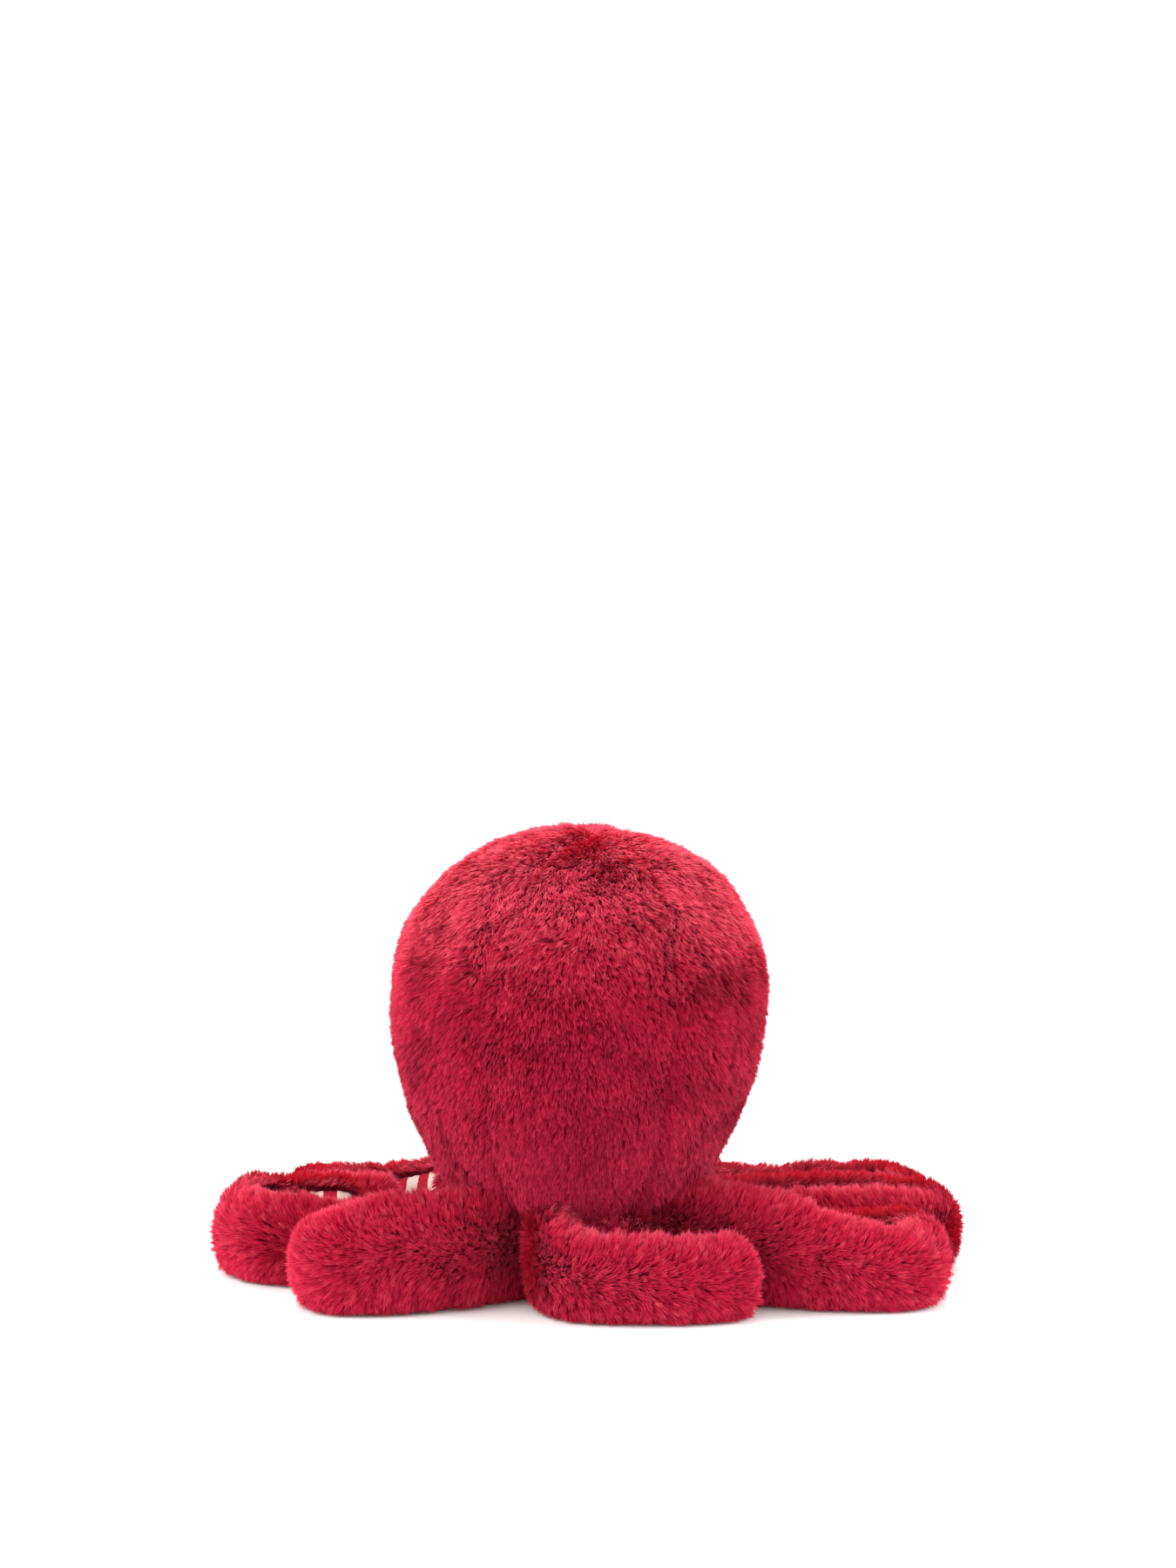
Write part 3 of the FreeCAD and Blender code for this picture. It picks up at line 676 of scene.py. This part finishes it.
def arm_surface(arm, line, start, stop, first, last, swell=0.0, step=1.6, columns=26):
    """The arm's skin between two distances along it and two angles round its section."""
    run, angle = np.meshgrid(np.linspace(start, stop, max(4, int((stop - start) / step))),
                             np.radians(np.linspace(first, last, columns)), indexing="ij")
    x, y, way = (np.interp(run, line["run"], line[key]) for key in ("x", "y", "way"))
    past = np.clip((run - line["end"]) / ARM_ROUND_END, 0, 1)
    narrow = (1 - past ** 2.3) ** (1 / 2.3)
    spine = np.stack([x, y, np.zeros_like(x)], -1)
    root_crest, tail_crest, fall_start, fall_end = CRESTS[arm][:4]
    crest = ROOT_END_CREST + (root_crest - ROOT_END_CREST) * ease(run, -ROOT_TUCK, 18)
    crest += (tail_crest - root_crest) * ease(run, fall_start, fall_end)
    crest += 1.8 * drift(spine, 18, 21) * ease(run, 20, 60)
    half = ARM_HALF_WIDTH + swell + 0.7 * drift(spine, 20, 22) + 3.0 * (1 - ease(run, 20, 70))
    tall = (crest - ARM_FOOT) / 2 + swell
    middle = (crest + ARM_FOOT) / 2
    power = 2 / ARM_SQUARENESS
    inward = half * narrow * np.sign(np.cos(angle)) * np.abs(np.cos(angle)) ** power
    level = middle + tall * narrow * np.sign(np.sin(angle)) * np.abs(np.sin(angle)) ** power
    side = line["curl"] * inward
    points = np.stack([x - side * np.sin(way), y + side * np.cos(way), np.maximum(level, 0.6)], -1)
    out = np.stack([-side * np.sin(way), side * np.cos(way), level - middle], -1)
    grid = grid_of(points, out)
    grid["run"] = run
    grid["rise"] = (level - middle) / tall
    grid["angle"] = angle
    return grid


def arm_plush(name, arm, line, start, stop, seed, closed):
    """Plush round the section, open on the inner side for the lining unless it is closed. The
    pile is brushed up and over the crest from half way up, and down below that."""
    lining_high = CRESTS[arm][4]
    first, last = (-90, 270) if closed else (lining_high, 360 + LINING_LOW)
    grid = arm_surface(arm, line, start, stop, first, last)
    points, normals, rise = grid["points"], grid["normals"], grid["rise"]
    angle = np.degrees(grid["angle"])
    outer = np.clip((180 - angle) / 60, -1, 1)
    if closed:
        outer = np.where(angle < 90, rise, outer)
    else:
        outer *= 0.2 + 0.8 * ease(angle, lining_high, 95)
    # painted light: a painted highlight along the crest and painted shade on the underside of the arm
    grid["painted_light"] = 0.57 + 0.4 * np.exp(-((angle - 80) / 28) ** 2) - 0.15 * ease(-rise, 0.5, 1.0)
    grid["comb"] = flat_to(0.45 * grid["along"] - outer[..., None] * grid["across"], normals)
    grid["lean"] = 0.62 + 0.15 * np.abs(outer) - 0.3 * np.exp(-((angle - 95) / 25) ** 2)
    pile = ARM_PILE * (1 + 0.08 * drift(points, 7, 31) + 0.08 * drift(points, 18, 32))
    grid["pile"] = pile * (1 - 0.35 * ease(-rise, 0.7, 1.0))
    return plush_piece(name, grid, ARM_DENSITY, TUFT, seed)


def arm_lining(name, arm, line, start, stop):
    """The striped cotton let into the inner side, puckered by its two seams."""
    high = CRESTS[arm][4]
    stop = min(stop, line["end"] + ARM_ROUND_END - 0.5)
    grid = arm_surface(arm, line, start, stop, LINING_LOW - 6, high + 4, 0.0, 0.9, 30)
    angle = np.degrees(grid["angle"])
    edge = np.minimum(angle - LINING_LOW, high - angle)
    lift = 0.9 * ease(edge, -4, 8) - 0.8 * ease(-edge, -2, 5)
    gathers = 2 * math.pi * grid["run"] / 5.5 + 1.5 * drift(grid["points"], 10, 41)
    pucker = np.sin(gathers) * np.exp(-np.abs(edge) / 12)
    grid["points"] += grid["normals"] * (lift + 0.45 * pucker)[..., None]
    across = angle / 90 * 22
    return cloth_piece(name, grid, LINING, {"run": grid["run"], "across": across})


def arm_wadding(name, arm, line, start, stop):
    """A lock of filling, closed at both ends."""
    grid = arm_surface(arm, line, start, stop, 0, 360, -WADDING_GAP, 2.5, 25)
    points = grid["points"]
    points += grid["normals"] * (0.5 * drift(points, 6, 51))[..., None]
    ends = np.minimum(np.arange(len(points)), np.arange(len(points))[::-1]) / 3
    close = np.sqrt(1 - (1 - np.clip(ends, 0, 1)) ** 2)[:, None, None]
    centre = points.mean(1, keepdims=True)
    grid["points"] = centre + (points - centre) * close
    return cloth_piece(name, grid, WADDING)


def bend_between(piece):
    """Bakes the piece's transform into its mesh; it is attached to no body and does not bend."""
    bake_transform(piece)


def make_arm(arm, seed):
    line = lay_out(arm)
    lift, curl = joint_named(arm + "_lift"), joint_named(arm + "_curl")
    hinge, second = run_at(line, lift), run_at(line, curl)
    root_end = hinge - 14
    upper_end = hinge + 16 if second - hinge > 45 else (hinge + second) / 2
    bend_end = second + CURL_REACH + 1
    marks = [-ROOT_TUCK, root_end, upper_end, bend_end, line["end"] + ARM_ROUND_END]
    for number, word in enumerate(("root", "upper", "bend", "tip")):
        start, stop = marks[number:number + 2]
        closed = word == "root"
        plush = arm_plush("%s_plush_%s" % (arm, word), arm, line, start, stop,
                          seed + 3 * number, closed)
        wad = arm_wadding("%s_wadding_%s" % (arm, word), arm, line, start + 0.5, stop - 0.5)
        covers = {"root": "arm_root_covers", "upper": arm + "_upper_cover"}
        covered = covers.get(word, arm + "_tip_cover")
        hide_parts(covered)
        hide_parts("arm_root_fillings" if closed else arm + "_filling")
        pieces = [(plush, "red_plush"), (wad, "polyester_filling")]
        if not closed:
            lining = arm_lining("%s_lining_%s" % (arm, word), arm, line, start, stop)
            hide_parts(arm + ("_upper_lining" if word == "upper" else "_tip_lining"))
            pieces.append((lining, "striped_lining"))
        for piece, slot in pieces:
            if word == "root":
                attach(piece, "body")
            elif word == "upper":
                bend_between(piece)
            elif word == "bend":
                bend_between(piece)
            else:
                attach(piece, arm + "_tip")


# ------------------------------------------------------------------ small parts

def finish_node(node, material):
    """Gives a carried-over CAD node its material."""
    mesh = frame["nodes"][node].data
    mesh.materials.clear()
    mesh.materials.append(material)


def finish_small_parts():
    eye = acrylic_moulded_eye()
    finish_node("eye_left", eye)
    finish_node("eye_right", eye)
    finish_node("eye_washers", polypropylene_moulded_washer())
    finish_node("mouth_thread", rayon_thread_twisted())
    finish_node("pellet_bag", calico_bag_woven())
    finish_node("pellets", polypropylene_pellets_cast())


# ------------------------------------------------------------------ studio

def softbox(name, place, aim, width, height, watts):
    light = bpy.data.lights.new(name, "AREA")
    light.shape = "RECTANGLE"
    light.size, light.size_y = width, height
    light.energy = watts
    box = bpy.data.objects.new(name, light)
    box.location = place
    box.rotation_euler = (Vector(aim) - Vector(place)).to_track_quat("-Z", "Y").to_euler()
    bpy.context.scene.collection.objects.link(box)


def make_studio():
    mesh = bpy.data.meshes.new("paper")
    half = 12.0
    corners = [(-half, -half, 0), (half, -half, 0), (half, half, 0), (-half, half, 0)]
    mesh.from_pydata(corners, [], [(0, 1, 2, 3)])
    mesh.materials.append(studio_paper())
    paper = bpy.data.objects.new("paper", mesh)
    bpy.context.scene.collection.objects.link(paper)
    world = bpy.data.worlds.new("studio")
    world.use_nodes = True
    world.node_tree.nodes["Background"].inputs["Color"].default_value = (1, 1, 1, 1)
    world.node_tree.nodes["Background"].inputs["Strength"].default_value = 1.08
    bpy.context.scene.world = world
    middle = (0, 0, 0.1)
    # place and size in metres, power in watts
    softbox("left_box", (-1.3, -0.5, 1.0), middle, 1.0, 1.0, 22)
    softbox("right_box", (1.4, -0.2, 0.9), middle, 0.8, 0.8, 14)
    softbox("top_box", (0.0, 0.8, 1.5), middle, 1.2, 1.2, 34)
    bpy.context.scene.view_settings.view_transform = "Standard"


def make_camera():
    """A long lens 12 degrees above the floor, behind the head."""
    data = bpy.data.cameras.new("camera")
    data.sensor_fit = "VERTICAL"
    data.sensor_height = 36
    data.lens = 76
    data.shift_x, data.shift_y = 0.0056, 0.189
    camera = bpy.data.objects.new("camera", data)
    aim = Vector((0, 0, 0.116))
    rise = math.radians(12)
    camera.location = aim + 1.9 * Vector((0, -math.cos(rise), math.sin(rise)))
    camera.rotation_euler = (aim - camera.location).to_track_quat("-Z", "Y").to_euler()
    bpy.context.scene.collection.objects.link(camera)
    bpy.context.scene.camera = camera


make_studio()
make_camera()
make_head()
make_underside()
for arm_number, arm_name in enumerate(ARMS):
    make_arm(arm_name, ARM_SEED + 20 * arm_number)
finish_small_parts()
